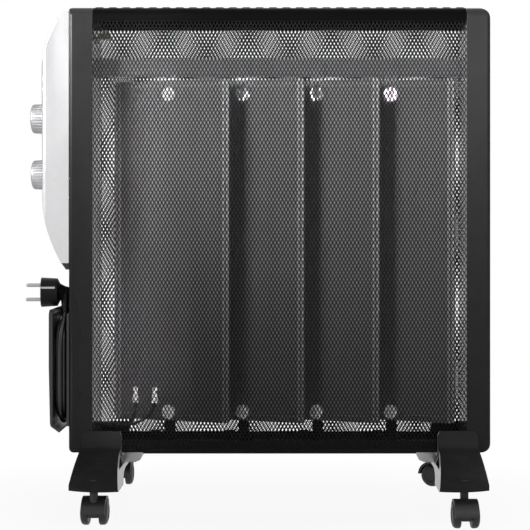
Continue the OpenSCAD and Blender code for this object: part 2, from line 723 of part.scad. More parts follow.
module foot_screws() color("#a5a5a2") in_body() for (x = [-215, 215]) for (y = [-15, 15]) translate([x, y, 0]) {
    translate([0, 0, 67]) cylinder(r = 5, h = 3);
    translate([0, 0, 68]) cylinder(r = 2.5, h = 12);
}

module rear_screws() color("#2a2a2a") in_body()
    for (x = [-half_w + column_w / 2, half_w - column_w / 2]) for (z = [base_z + 47, top_z - 38])
        translate([x, half_d, z]) rotate([-90, 0, 0]) difference() {
            union() {
                cylinder(r1 = 3.8, r2 = 2.8, h = 1.8);
                translate([0, 0, -9]) cylinder(r = 2, h = 9.5);
            }
            for (a = [0, 90]) rotate([0, 0, a]) translate([-2, -0.4, 1]) cube([4, 0.8, 2]);
        }

module at_castor(i) in_body() translate([castor_at[i][0], castor_at[i][1], 0]) rotate([0, 0, castor_turn[i]]) children();

// A round form about the wheel axle, from one side to the other
module on_axle(r, from, to) translate([castor_trail, 0, wheel_r]) rotate([-90, 0, 0])
    translate([0, 0, from]) cylinder(r = r, h = to - from, $fn = 64);

module castor_hood(i) color("#27282a") at_castor(i) difference() {
    web = wheel_gap / 2 - 0.4;
    union() {
        difference() {
            on_axle(hood_r, -hood_w / 2, hood_w / 2);
            for (s = [-1, 1]) on_axle(wheel_r + 0.8, s > 0 ? web : -20, s > 0 ? 20 : -web);
            // Open below the axle, with an apron left on the stem's side
            translate([castor_trail, -20, -10]) cube([30, 40, wheel_r + 10]);
            translate([-30, -20, -10]) cube([60, 40, 26]);
        }
        difference() {
            on_axle(wheel_r - 0.6, -web, web);
            translate([-30, -20, -10]) cube([80, 40, 21]);
        }
        translate([0, 0, 20]) cylinder(r = 5, h = neck_top - 20);
    }
    on_axle(axle_r + running_gap, -20, 20);
    translate([0, 0, 20]) cylinder(r = stem_r, h = 30);
}

module castor_stem(i) color("#9a9b9c") at_castor(i) translate([0, 0, 20]) cylinder(r = stem_r, h = stem_top - 20);

module castor_wheels(i) color("#2f3032") at_castor(i) for (s = [-1, 1])
    translate([castor_trail, 0, wheel_r]) rotate([s * 90, 0, 0]) rotate_extrude($fn = 64) polygon(concat(
        [[axle_r, wheel_gap / 2], [wheel_r - 1, wheel_gap / 2], [wheel_r, wheel_gap / 2 + 1]],
        curve([wheel_r, wheels_w / 2 - 5], [wheel_r - 0.3, wheels_w / 2 - 0.6], [8.5, wheels_w / 2], 6),
        [[8, wheels_w / 2 - 0.8], [0, wheels_w / 2 - 0.8], [0, wheels_w / 2 - 3], [axle_r, wheels_w / 2 - 3]]));

module castor_axle(i) color("#9a9b9c") at_castor(i) on_axle(axle_r, 3 - wheels_w / 2, wheels_w / 2 - 3);

left_column();
right_column();
top_cover();
base_tray();
front_mesh();
rear_mesh();
upper_rail();
upper_hangers();
lower_hangers();
front_plate(0);  // front_plate_1
front_plate(1);  // front_plate_2
front_plate(2);  // front_plate_3
front_plate(3);  // front_plate_4
mica_elements();
rear_plates();
panel_washers();
panel_screws();
element_terminals();
element_wires();
thermal_cutout();
control_base();
control_cover();
dial_plate();
indicator_lens();
thermostat_body();
mode_switch_body();
tip_switch_body();
tip_pendulum();
thermostat_knob();
thermostat_shaft();
mode_knob();
mode_shaft();
cord_bracket();
cable_gland();
cord_lead();
cord_hank();
cord_tail();
plug_body();
plug_pins();
left_foot();
right_foot();
castor_sockets();
foot_screws();
rear_screws();
castor_hood(0);  // castor_hood_front_left
castor_hood(1);  // castor_hood_front_right
castor_hood(2);  // castor_hood_rear_left
castor_hood(3);  // castor_hood_rear_right
castor_stem(0);  // castor_stem_front_left
castor_stem(1);  // castor_stem_front_right
castor_stem(2);  // castor_stem_rear_left
castor_stem(3);  // castor_stem_rear_right
castor_wheels(0);  // castor_wheels_front_left
castor_wheels(1);  // castor_wheels_front_right
castor_wheels(2);  // castor_wheels_rear_left
castor_wheels(3);  // castor_wheels_rear_right
castor_axle(0);  // castor_axle_front_left
castor_axle(1);  // castor_axle_front_right
castor_axle(2);  // castor_axle_rear_left
castor_axle(3);  // castor_axle_rear_right
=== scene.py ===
"""Looks of a mica panel convector heater on castors: grilles, mains cord, finishes, light and camera."""

from __future__ import annotations

import logging
import math
from contextlib import contextmanager
from dataclasses import dataclass, replace
from enum import Enum
from typing import Callable, Iterator, Sequence

import bmesh
import bpy
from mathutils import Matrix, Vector


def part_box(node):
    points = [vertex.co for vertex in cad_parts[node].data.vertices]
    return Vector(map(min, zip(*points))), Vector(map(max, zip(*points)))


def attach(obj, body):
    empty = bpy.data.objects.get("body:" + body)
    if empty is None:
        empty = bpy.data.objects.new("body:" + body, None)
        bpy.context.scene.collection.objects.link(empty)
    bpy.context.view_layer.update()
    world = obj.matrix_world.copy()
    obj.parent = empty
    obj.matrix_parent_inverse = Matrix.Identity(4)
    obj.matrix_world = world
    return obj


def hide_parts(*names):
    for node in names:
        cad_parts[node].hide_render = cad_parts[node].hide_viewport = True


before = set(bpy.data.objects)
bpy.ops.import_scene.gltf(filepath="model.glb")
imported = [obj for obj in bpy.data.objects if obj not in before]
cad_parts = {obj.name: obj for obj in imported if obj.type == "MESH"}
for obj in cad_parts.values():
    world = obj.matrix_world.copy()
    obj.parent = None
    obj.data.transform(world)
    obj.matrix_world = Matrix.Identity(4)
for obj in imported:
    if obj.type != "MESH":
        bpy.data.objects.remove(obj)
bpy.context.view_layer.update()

log = logging.getLogger("heater")

MM = 0.001
BODY_X = 0.026  # the case's middle stands this far off the origin
PANEL_TURN = math.radians(17.3)  # each panel is turned this far about its upright middle line
CORNERS = ("front_left", "front_right", "rear_left", "rear_right")

# A mask's range: it is 0 at the first value and 1 at the second. Lengths are in metres.
WALL_X = (0.2344, 0.2342)  # off the case's middle, inner faces of the columns
WALL_Y = (0.0316, 0.0312)  # off the middle plane, depth of those faces
PAD_X = (0.206, 0.204)  # off the case's middle, inner end of a foot's pad
PAD_Y = (0.0304, 0.0302)  # off the middle plane, the pad under the case
CHEEK_FACING = (0.15, 0.17)  # a surface's normal towards the middle, times its place off the middle
FOLD_WIDTH = (0.0020, 0.0008)  # off the line of a fold
ASLANT = (0.55, 0.95)  # how far a surface turns away, where flake paint begins and ends its darkening

FOLDS = (0.0717, 0.0768)  # off a panel's middle line, the two folds of its hem
MIRROR_FADE = 0.1  # height over which metal goes from strongly metallic below to its own finish above: painted light by height
DUST_SHARE = 0.05

Colour = tuple[float, float, float]
Opaque = tuple[float, float, float, float]
Point = tuple[float, float, float]

DUST: Opaque = (0.42, 0.40, 0.37, 1.0)
FLOP_SHADE: Opaque = (0.05, 0.05, 0.055, 1.0)
# painted reflection of the bright floor and background, on the columns' inner walls and the feet's cheeks
PAINTED_REFLECTION_GREY: Opaque = (0.55, 0.55, 0.56, 1.0)
# painted highlight along the folds of each panel's hem
HEM_HIGHLIGHT: Opaque = (0.86, 0.86, 0.87, 1.0)
WHITE: Opaque = (1, 1, 1, 1)


class Part(Enum):
    """Kind of mesh element that an edit works on."""

    VERT = "VERT"
    EDGE = "EDGE"


class Side(Enum):
    """Broad side of the case."""

    FRONT = "front"
    REAR = "rear"


# The bench: selecting, editing and finishing pieces


def deselect() -> None:
    """Leave edit mode and leave nothing selected."""
    if bpy.context.object is not None and bpy.context.object.mode != "OBJECT":
        bpy.ops.object.mode_set(mode="OBJECT")
    bpy.ops.object.select_all(action="DESELECT")


def take(*pieces: bpy.types.Object) -> None:
    """Select these pieces alone, with the first one active.

    Args:
        pieces: The objects that the next operator acts on.
    """
    deselect()
    for piece in pieces:
        piece.select_set(True)
    bpy.context.view_layer.objects.active = pieces[0]


@contextmanager
def editing(piece: bpy.types.Object) -> Iterator[None]:
    """Hold one piece in edit mode for a while.

    Args:
        piece: The object that is shaped.
    """
    take(piece)
    bpy.ops.object.mode_set(mode="EDIT")
    yield
    bpy.ops.object.mode_set(mode="OBJECT")


def pick(kind: Part, test: Callable[[Vector, Vector], bool]) -> None:
    """Select elements of the mesh being edited by their place and direction.

    Args:
        kind: Vertices or edges.
        test: Takes a vertex's place and normal, or an edge's middle and direction, and says if it is wanted.
    """
    bpy.ops.mesh.select_mode(type=kind.value)
    bpy.ops.mesh.select_all(action="DESELECT")
    mesh = bpy.context.edit_object.data
    form = bmesh.from_edit_mesh(mesh)
    if kind is Part.EDGE:
        items = [(edge, (edge.verts[0].co + edge.verts[1].co) / 2, edge.verts[1].co - edge.verts[0].co)
                 for edge in form.edges]
    else:
        items = [(vert, vert.co, vert.normal) for vert in form.verts]
    for item, middle, direction in items:
        if test(middle, direction):
            item.select_set(True)
    form.select_flush_mode()
    bmesh.update_edit_mesh(mesh)


def pull(x: float = 0.0, y: float = 0.0, z: float = 0.0) -> None:
    """Move what is selected in edit mode, in metres."""
    bpy.ops.transform.translate(value=(x, y, z))


def extrude(x: float = 0.0, y: float = 0.0, z: float = 0.0) -> None:
    """Extrude what is selected in edit mode by an offset in metres."""
    bpy.ops.mesh.extrude_region_move(TRANSFORM_OT_translate={"value": (x, y, z)})


def settle(piece: bpy.types.Object, name: str) -> bpy.types.Object:
    """Put a piece's place into its mesh and name it.

    Args:
        piece: The object to settle.
        name: The piece's name.

    Returns:
        The same object, at the origin, unturned and unscaled.
    """
    take(piece)
    bpy.ops.object.transform_apply(location=True, rotation=True, scale=True)
    piece.name = name
    piece.data.name = name
    return piece


def outward(piece: bpy.types.Object, merge: float = 1e-6) -> None:
    """Merge a piece's doubles and turn its faces outwards.

    Args:
        piece: The closed piece.
        merge: Distance under which two points become one.
    """
    with editing(piece):
        bpy.ops.mesh.select_all(action="SELECT")
        bpy.ops.mesh.remove_doubles(threshold=merge)
        bpy.ops.mesh.normals_make_consistent(inside=False)


def apply_modifiers(piece: bpy.types.Object) -> None:
    """Apply every modifier of a piece, in order."""
    take(piece)
    for name in [modifier.name for modifier in piece.modifiers]:
        bpy.ops.object.modifier_apply(modifier=name)


def dress(piece: bpy.types.Object, finish: bpy.types.Material) -> None:
    """Give a piece one finish all over."""
    piece.data.materials.clear()
    piece.data.materials.append(finish)


# Materials


class Tree:
    """A node tree that is written top down."""

    def __init__(self, tree: bpy.types.NodeTree) -> None:
        """Start on an empty tree."""
        self.tree = tree

    def node(self, kind: str, inputs: dict | None = None, **settings: object) -> bpy.types.Node:
        """Add a node.

        Args:
            kind: Type of the node without its ShaderNode prefix.
            inputs: Socket name or number to a value, or to the socket that feeds it.
            settings: Properties of the node.

        Returns:
            The new node.
        """
        made = self.tree.nodes.new(kind if kind.startswith("NodeGroup") else "ShaderNode" + kind)
        for name, value in settings.items():
            setattr(made, name, value)
        self.feed(made, inputs or {})
        return made

    def feed(self, node: bpy.types.Node, inputs: dict) -> None:
        """Set a node's inputs.

        Args:
            node: The node.
            inputs: Socket name or number to a value, or to the socket that feeds it.
        """
        for socket, value in inputs.items():
            if isinstance(value, bpy.types.NodeSocket):
                self.tree.links.new(value, node.inputs[socket])
            else:
                node.inputs[socket].default_value = value

    def math(self, operation: str, *values: float | bpy.types.NodeSocket) -> bpy.types.NodeSocket:
        """Add a Math node and return its result."""
        return self.node("Math", dict(enumerate(values)), operation=operation).outputs[0]

    def spread(self, value: bpy.types.NodeSocket, low: float, high: float,
               to_low: float = 0.0, to_high: float = 1.0) -> bpy.types.NodeSocket:
        """Map a value from one range to another, kept within it."""
        return self.node("MapRange", {0: value, 1: low, 2: high, 3: to_low, 4: to_high}).outputs[0]

    def noise(self, where: bpy.types.NodeSocket, scale: float, detail: float = 2.0) -> bpy.types.NodeSocket:
        """Add a noise texture and return its value."""
        return self.node("TexNoise", {"Vector": where, "Scale": scale, "Detail": detail}).outputs[0]

    def blend(self, factor: bpy.types.NodeSocket, first: object, second: object) -> bpy.types.NodeSocket:
        """Mix two colours by a factor and return the result."""
        return self.node("Mix", {0: factor, 6: first, 7: second}, data_type="RGBA").outputs[2]


def new_group(name: str, inputs: Sequence[tuple[str, str, object]],
              outputs: Sequence[tuple[str, str]]) -> Tree:
    """Make an empty shader group with named sockets.

    Args:
        name: The group's name.
        inputs: Name, socket type and first value of each input.
        outputs: Name and socket type of each output.

    Returns:
        The group's tree.
    """
    tree = bpy.data.node_groups.new(name, "ShaderNodeTree")
    for title, kind, value in inputs:
        socket = tree.interface.new_socket(name=title, in_out="INPUT", socket_type="NodeSocket" + kind)
        if value is not None:
            socket.default_value = value
    for title, kind in outputs:
        tree.interface.new_socket(name=title, in_out="OUTPUT", socket_type="NodeSocket" + kind)
    return Tree(tree)


@dataclass(frozen=True)
class SharedEffects:
    """Shader groups that several finishes use."""

    grain: bpy.types.NodeTree
    edges: bpy.types.NodeTree
    handling: bpy.types.NodeTree

    @classmethod
    def build(cls) -> SharedEffects:
        """Make each group once."""
        return cls(cls._grain(), cls._edges(), cls._handling())

    @staticmethod
    def _grain() -> bpy.types.NodeTree:
        """Fine spark-eroded grain of a mould or of powder paint: a height and a tone."""
        made = new_group("surface_grain", [("Place", "Vector", None), ("Cells", "Float", 1200.0)],
                         [("Height", "Float"), ("Tone", "Float")])
        start = made.node("NodeGroupInput").outputs
        place, cells = start["Place"], start["Cells"]
        fine = made.noise(place, cells, 3.0)
        wide = made.noise(place, made.math("MULTIPLY", cells, 0.02), 2.0)
        height = made.math("ADD", made.math("MULTIPLY", fine, 0.8), made.math("MULTIPLY", wide, 0.2))
        tone = made.math("ADD", made.math("MULTIPLY", fine, 0.35), made.math("MULTIPLY", wide, 0.65))
        made.node("NodeGroupOutput", {"Height": height, "Tone": made.spread(tone, 0.3, 0.7)})
        return made.tree

    @staticmethod
    def _edges() -> bpy.types.NodeTree:
        """Edges broken by a small radius: a rounded normal and a mask of where it turns."""
        made = new_group("broken_edges", [("Radius", "Float", 0.0006)],
                         [("Normal", "Vector"), ("Edge", "Float")])
        start = made.node("NodeGroupInput").outputs
        turned = made.node("Bevel", {"Radius": start["Radius"]}, samples=4).outputs[0]
        flat = made.node("NewGeometry").outputs["Normal"]
        facing = made.node("VectorMath", {0: turned, 1: flat}, operation="DOT_PRODUCT").outputs["Value"]
        made.node("NodeGroupOutput", {"Normal": turned, "Edge": made.spread(facing, 0.98, 0.80)})
        return made.tree

    @staticmethod
    def _handling() -> bpy.types.NodeTree:
        """Faint smears of use: a mask for the gloss, and dust that lies on what faces up."""
        made = new_group("handling_marks", [("Place", "Vector", None)],
                         [("Smear", "Float"), ("Dust", "Float")])
        place = made.node("NodeGroupInput").outputs["Place"]
        long = made.node("Mapping", {"Vector": place, "Scale": (1.0, 1.0, 0.35)}).outputs[0]
        smear = made.spread(made.noise(long, 14.0, 4.0), 0.42, 0.68)
        up = made.node("SeparateXYZ", {0: made.node("NewGeometry").outputs["Normal"]}).outputs[2]
        patches = made.spread(made.noise(place, 60.0, 5.0), 0.45, 0.75)
        lying = made.math("MULTIPLY", made.spread(up, 0.6, 1.0), patches)
        made.node("NodeGroupOutput", {"Smear": smear, "Dust": lying})
        return made.tree


class Worked(Enum):
    """How a surface was made, which sets the pattern that it carries."""

    MOULDED = "moulded"
    PAINTED = "painted"
    BRUSHED = "brushed"
    FLAKED = "flaked"
    RUBBED = "rubbed"


class PaintedReflection(Enum):
    """Where a painted piece gets a painted reflection: a lighter grey with more metal and more gloss."""

    NOWHERE = "nowhere"
    INNER_WALLS = "inner walls"
    CHEEKS = "cheeks"


@dataclass(frozen=True)
class Finish:
    """One finish of the heater: colour, gloss and the way its surface was worked.

    cells is the grain's fineness and depth its height in metres. tone is how far the colour varies. Broken
    edges are edge_width metres wide: there the colour goes edge_lift of the way to one that is edge_white
    nearer to white. flop darkens flake paint that turns away. hem_about is the X of a panel's middle line,
    for the highlight painted on its folded hem, and mirror_below the height under which the metal is made
    strongly metallic: painted light that differs by height.
    """

    name: str
    colour: Colour
    roughness: float
    worked: Worked = Worked.MOULDED
    metallic: float = 0.0
    specular: float = 0.3
    cells: float = 1200.0
    depth: float = 0.00003
    edge_lift: float = 0.25
    edge_width: float = 0.0006
    edge_white: float = 0.14
    flop: float = 0.0
    tone: float = 0.18
    painted_reflection: PaintedReflection = PaintedReflection.NOWHERE
    hem_about: float | None = None
    mirror_below: float | None = None

    def build(self, shared: SharedEffects) -> bpy.types.Material:
        """Make the material.

        Args:
            shared: The groups that every finish uses.

        Returns:
            The finished material.
        """
        material = bpy.data.materials.new(self.name)
        material.use_nodes = True
        tree = Tree(material.node_tree)
        place = tree.node("TexCoord").outputs["Object"]
        grain = tree.node("Group", {"Place": self._laid(tree, place), "Cells": self.cells},
                          node_tree=shared.grain).outputs
        edges = tree.node("Group", {"Radius": self.edge_width}, node_tree=shared.edges).outputs
        marks = tree.node("Group", {"Place": place}, node_tree=shared.handling).outputs

        colour = self._coloured(tree, place, grain["Tone"])
        colour = tree.blend(tree.math("MULTIPLY", edges["Edge"], self.edge_lift), colour, self._lifted())
        colour = tree.blend(tree.math("MULTIPLY", marks["Dust"], DUST_SHARE), colour, DUST)
        if self.flop:
            facing = tree.node("LayerWeight", {"Blend": 0.5}).outputs["Facing"]
            colour = tree.blend(tree.spread(facing, *ASLANT, 0.0, self.flop), colour, FLOP_SHADE)
        # A highlight is painted along each panel's hem folds.
        if self.hem_about is not None:
            colour = tree.blend(self._hem_highlight(tree, place), colour, HEM_HIGHLIGHT)
        gloss = tree.spread(marks["Smear"], 0.0, 1.0, self.roughness - 0.04, self.roughness + 0.05)
        metal: float | bpy.types.NodeSocket = self.metallic
        # Painted reflection: the masked faces go to a lighter grey, with more metal and more gloss.
        if self.painted_reflection is not PaintedReflection.NOWHERE:
            painted_reflection = (self._inner_walls if self.painted_reflection is PaintedReflection.INNER_WALLS else self._cheeks)(tree, place)
            colour = tree.blend(painted_reflection, colour, PAINTED_REFLECTION_GREY)
            gloss = tree.math("MULTIPLY", gloss, tree.spread(painted_reflection, 0.0, 1.0, 1.0, 0.4))
            metal = tree.math("MULTIPLY", painted_reflection, 0.5)
        # Painted light by height: lower down the metal is made strongly metallic, so that it looks brighter
        # there.
        if self.mirror_below is not None:
            height = tree.node("SeparateXYZ", {0: place}).outputs[2]
            metal = tree.spread(height, self.mirror_below, self.mirror_below + MIRROR_FADE, 0.85, self.metallic)
        bump = tree.node("Bump", {"Height": grain["Height"], "Normal": edges["Normal"], "Strength": 0.6,
                                  "Distance": self.depth}).outputs[0]
        tree.feed(material.node_tree.nodes["Principled BSDF"], {
            "Base Color": colour, "Metallic": metal, "Roughness": gloss, "Normal": bump,
            "Specular IOR Level": self.specular, "Specular Tint": (*[1.0 - self.flop] * 3, 1.0)})
        return material

    def _inner_walls(self, tree: Tree, place: bpy.types.NodeSocket) -> bpy.types.NodeSocket:
        """Mask of the case's walls that face the panels, where a reflection is painted."""
        at = tree.node("SeparateXYZ", {0: place}).outputs
        wall = tree.spread(tree.math("ABSOLUTE", tree.math("SUBTRACT", at[0], BODY_X)), *WALL_X)
        return tree.math("MULTIPLY", wall, tree.spread(tree.math("ABSOLUTE", at[1]), *WALL_Y))

    def _cheeks(self, tree: Tree, place: bpy.types.NodeSocket) -> bpy.types.NodeSocket:
        """Mask of a foot's cheek that faces the other foot, and of its pad's inner end under the case, where
        a reflection is painted.
        """
        at = tree.node("SeparateXYZ", {0: place}).outputs
        facing = tree.node("SeparateXYZ", {0: tree.node("NewGeometry").outputs["Normal"]}).outputs[0]
        to_middle = tree.math("SUBTRACT", BODY_X, at[0])
        inner_end = tree.spread(tree.math("ABSOLUTE", to_middle), *PAD_X)
        pad = tree.math("MULTIPLY", tree.spread(tree.math("ABSOLUTE", at[1]), *PAD_Y), inner_end)
        return tree.math("MAXIMUM", pad, tree.spread(tree.math("MULTIPLY", facing, to_middle), *CHEEK_FACING))

    def _hem_highlight(self, tree: Tree, place: bpy.types.NodeSocket) -> bpy.types.NodeSocket:
        """Mask of the two folds along each upright edge of a panel, where a highlight is painted."""
        from_middle = tree.node("VectorMath", {0: place, 1: (self.hem_about or 0.0, 0.0, 0.0)},
                                operation="SUBTRACT").outputs[0]
        along = (math.cos(PANEL_TURN), -math.sin(PANEL_TURN), 0.0)
        across = tree.node("VectorMath", {0: from_middle, 1: along}, operation="DOT_PRODUCT").outputs["Value"]
        off_middle = tree.math("ABSOLUTE", across)
        lines = []
        for fold in FOLDS:
            off_fold = tree.math("ABSOLUTE", tree.math("SUBTRACT", off_middle, fold))
            lines.append(tree.spread(off_fold, *FOLD_WIDTH, 0.0, 0.85))
        return tree.math("MAXIMUM", *lines)

    def _lifted(self) -> Opaque:
        """The colour, part of the way to white."""
        return (*(c + (1.0 - c) * self.edge_white for c in self.colour), 1.0)

    def _laid(self, tree: Tree, place: bpy.types.NodeSocket) -> bpy.types.NodeSocket:
        """Stretch the pattern the way the surface was worked."""
        stretch = {Worked.BRUSHED: (1.0, 1.0, 0.02), Worked.RUBBED: (1.0, 1.0, 0.25)}.get(self.worked)
        if stretch is None:
            return place
        return tree.node("Mapping", {"Vector": place, "Scale": stretch}).outputs[0]

    def _coloured(self, tree: Tree, place: bpy.types.NodeSocket,
                  tone: bpy.types.NodeSocket) -> bpy.types.NodeSocket:
        """Vary the colour over the surface."""
        low = (*(c * (1.0 - self.tone) for c in self.colour), 1.0)
        high = (*(min(1.0, c * (1.0 + self.tone)) for c in self.colour), 1.0)
        if self.worked is not Worked.FLAKED:
            return tree.blend(tone, low, high)
        cell = tree.node("TexVoronoi", {"Vector": place, "Scale": self.cells * 0.4}).outputs["Color"]
        flake = tree.node("SeparateColor", {0: cell}).outputs[0]
        mixed = tree.math("ADD", tree.math("MULTIPLY", flake, 0.6), tree.math("MULTIPLY", tone, 0.4))
        return tree.blend(mixed, low, high)


FINISHES: dict[str, Finish] = {finish.name: finish for finish in (
    # The columns' inner walls get a painted reflection.
    Finish("column_satin", (0.019, 0.019, 0.0195), 0.30, cells=1500.0, specular=0.15,
           painted_reflection=PaintedReflection.INNER_WALLS),
    Finish("cover_satin", (0.0015, 0.0015, 0.0016), 0.45, cells=1500.0, specular=0.03),
    Finish("grille_paint", (0.007, 0.007, 0.0075), 0.45, Worked.PAINTED, cells=2600.0, depth=0.00002,
           specular=0.14),
    Finish("tray_paint", (0.005, 0.005, 0.0055), 0.40, Worked.PAINTED, cells=900.0, depth=0.00004,
           specular=0.10),
    Finish("rail_zinc", (0.30, 0.30, 0.31), 0.42, Worked.RUBBED, metallic=0.85, cells=300.0, tone=0.15),
    # The front plates' broken edges go half way to white: a painted highlight along their folded edges and
    # bead.
    Finish("panel_coat", (0.345, 0.347, 0.351), 0.60, Worked.RUBBED, cells=700.0, depth=0.00003, tone=0.10,
           specular=0.12, edge_lift=1.0, edge_width=0.0014, edge_white=0.5),
    Finish("panel_back", (0.22, 0.22, 0.222), 0.55, Worked.RUBBED, cells=700.0, depth=0.00003, specular=0.12),
    Finish("mica_sheet", (0.26, 0.20, 0.11), 0.40, Worked.FLAKED, cells=700.0, tone=0.45),
    Finish("bright_plate", (0.82, 0.82, 0.81), 0.26, Worked.BRUSHED, metallic=1.0, cells=900.0, tone=0.04),
    Finish("pin_nickel", (0.42, 0.42, 0.41), 0.32, Worked.BRUSHED, metallic=1.0, cells=900.0, tone=0.10),
    # The lower washers are more metallic than the upper ones: painted light by height.
    Finish("washer_zinc", (0.90, 0.90, 0.89), 0.50, Worked.RUBBED, metallic=0.15, cells=600.0, tone=0.10,
           mirror_below=0.3),
    Finish("cord_jacket", (0.014, 0.014, 0.0145), 0.38, cells=2600.0, specular=0.50),
    Finish("plug_rubber", (0.007, 0.007, 0.0075), 0.52, cells=1800.0, depth=0.00005, specular=0.15),
    Finish("ceramic_bead", (0.62, 0.56, 0.45), 0.50, cells=700.0, tone=0.08),
    Finish("inner_moulding", (0.030, 0.030, 0.032), 0.50),
    Finish("silver_paint", (0.65, 0.65, 0.66), 0.22, Worked.FLAKED, metallic=1.0, cells=5200.0, tone=0.04,
           edge_lift=0.0, depth=0.00001, flop=0.55),
    Finish("knob_silver", (0.42, 0.42, 0.43), 0.36, Worked.FLAKED, metallic=1.0, cells=5200.0, tone=0.06,
           edge_lift=0.3, depth=0.00001, flop=0.4),
    Finish("shaft_steel", (0.55, 0.55, 0.54), 0.30, Worked.BRUSHED, metallic=1.0, cells=600.0, tone=0.12),
    Finish("dial_red", (0.40, 0.03, 0.045), 0.42, cells=2200.0, depth=0.00001, tone=0.06),
    # The feet's inner cheeks and pads get a painted reflection.
    Finish("foot_satin", (0.048, 0.048, 0.0485), 0.50, cells=1300.0, specular=0.08, painted_reflection=PaintedReflection.CHEEKS),
    Finish("castor_nylon", (0.062, 0.062, 0.063), 0.42, cells=1300.0, specular=0.35),
    Finish("wheel_nylon", (0.060, 0.060, 0.061), 0.46, Worked.RUBBED, cells=900.0, specular=0.35),
    Finish("screw_black", (0.05, 0.05, 0.05), 0.36, Worked.PAINTED, metallic=0.6, cells=1800.0),
    Finish("store_moulding", (0.030, 0.030, 0.0305), 0.40, cells=1300.0, specular=0.50),
)}


@dataclass
class Workshop:
    """The finishes, each built when it is first asked for."""

    shared: SharedEffects
    made: dict[str, bpy.types.Material]

    @classmethod
    def open(cls) -> Workshop:
        """Make the shared groups and an empty shelf."""
        return cls(SharedEffects.build(), {})

    def finish(self, name: str) -> bpy.types.Material:
        """Give a finish by name."""
        if name not in self.made:
            self.made[name] = FINISHES[name].build(self.shared)
        return self.made[name]

    def dress_nodes(self, finish: str, *nodes: str) -> None:
        """Give CAD nodes a finish.

        Args:
            finish: Name of the finish.
            nodes: Names of the nodes.
        """
        for node in nodes:
            dress(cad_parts[node], self.finish(finish))
        log.info("%s: %s", finish, ", ".join(nodes))


# The studio


@dataclass(frozen=True)
class Lamp:
    """A soft lamp: a lit rectangle that faces one point.

    Its size is a width and a height, its power is in watts and its spread is its beam's angle in degrees.
    Where lights_only names a CAD node, the lamp lights that node alone.
    """

    name: str
    at: Point
    aim: Point
    size: tuple[float, float]
    power: float
    spread: float = 180.0
    lights_only: str = ""

    def hang(self) -> None:
        """Put the lamp in the scene."""
        data = bpy.data.lights.new(self.name, "AREA")
        data.shape = "RECTANGLE"
        data.size, data.size_y = self.size
        data.energy = self.power
        data.spread = math.radians(self.spread)
        lamp = bpy.data.objects.new(self.name, data)
        lamp.location = self.at
        lamp.rotation_euler = (Vector(self.aim) - Vector(self.at)).to_track_quat("-Z", "Y").to_euler()
        bpy.context.scene.collection.objects.link(lamp)
        if self.lights_only:
            lit = bpy.data.collections.new(self.name)
            lit.objects.link(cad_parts[self.lights_only])
            lamp.light_linking.receiver_collection = lit


LAMPS = (
    Lamp("key_lamp", (-1.40, -1.25, 1.02), (BODY_X, 0, 1.09), (0.8, 0.25), 20.0, 55.0),
    Lamp("near_panel_lamp", (0.25, -1.20, 0.48), (-0.165, 0, 0.38), (0.03, 0.55), 0.12, 7.0),
    Lamp("fill_lamp", (1.25, -1.30, 1.05), (BODY_X, 0, 0.6), (0.8, 0.8), 1.5),
    Lamp("sheen_lamp", (0.52, -1.44, 0.84), (0.275, 0, 0.5), (0.30, 0.60), 2.4),
    Lamp("low_lamp", (-0.60, -0.64, 0.07), (0, 0, 0.12), (0.40, 0.08), 0.42),
    Lamp("washer_lamp", (0.07, -1.40, 0.53), (0.07, 0, 0.524), (0.22, 0.03), 0.6, 5.0, "panel_washers"),
    Lamp("rear_lamp", (0.20, 1.60, 1.60), (BODY_X, 0, 0.35), (1.2, 1.2), 10.0),
)


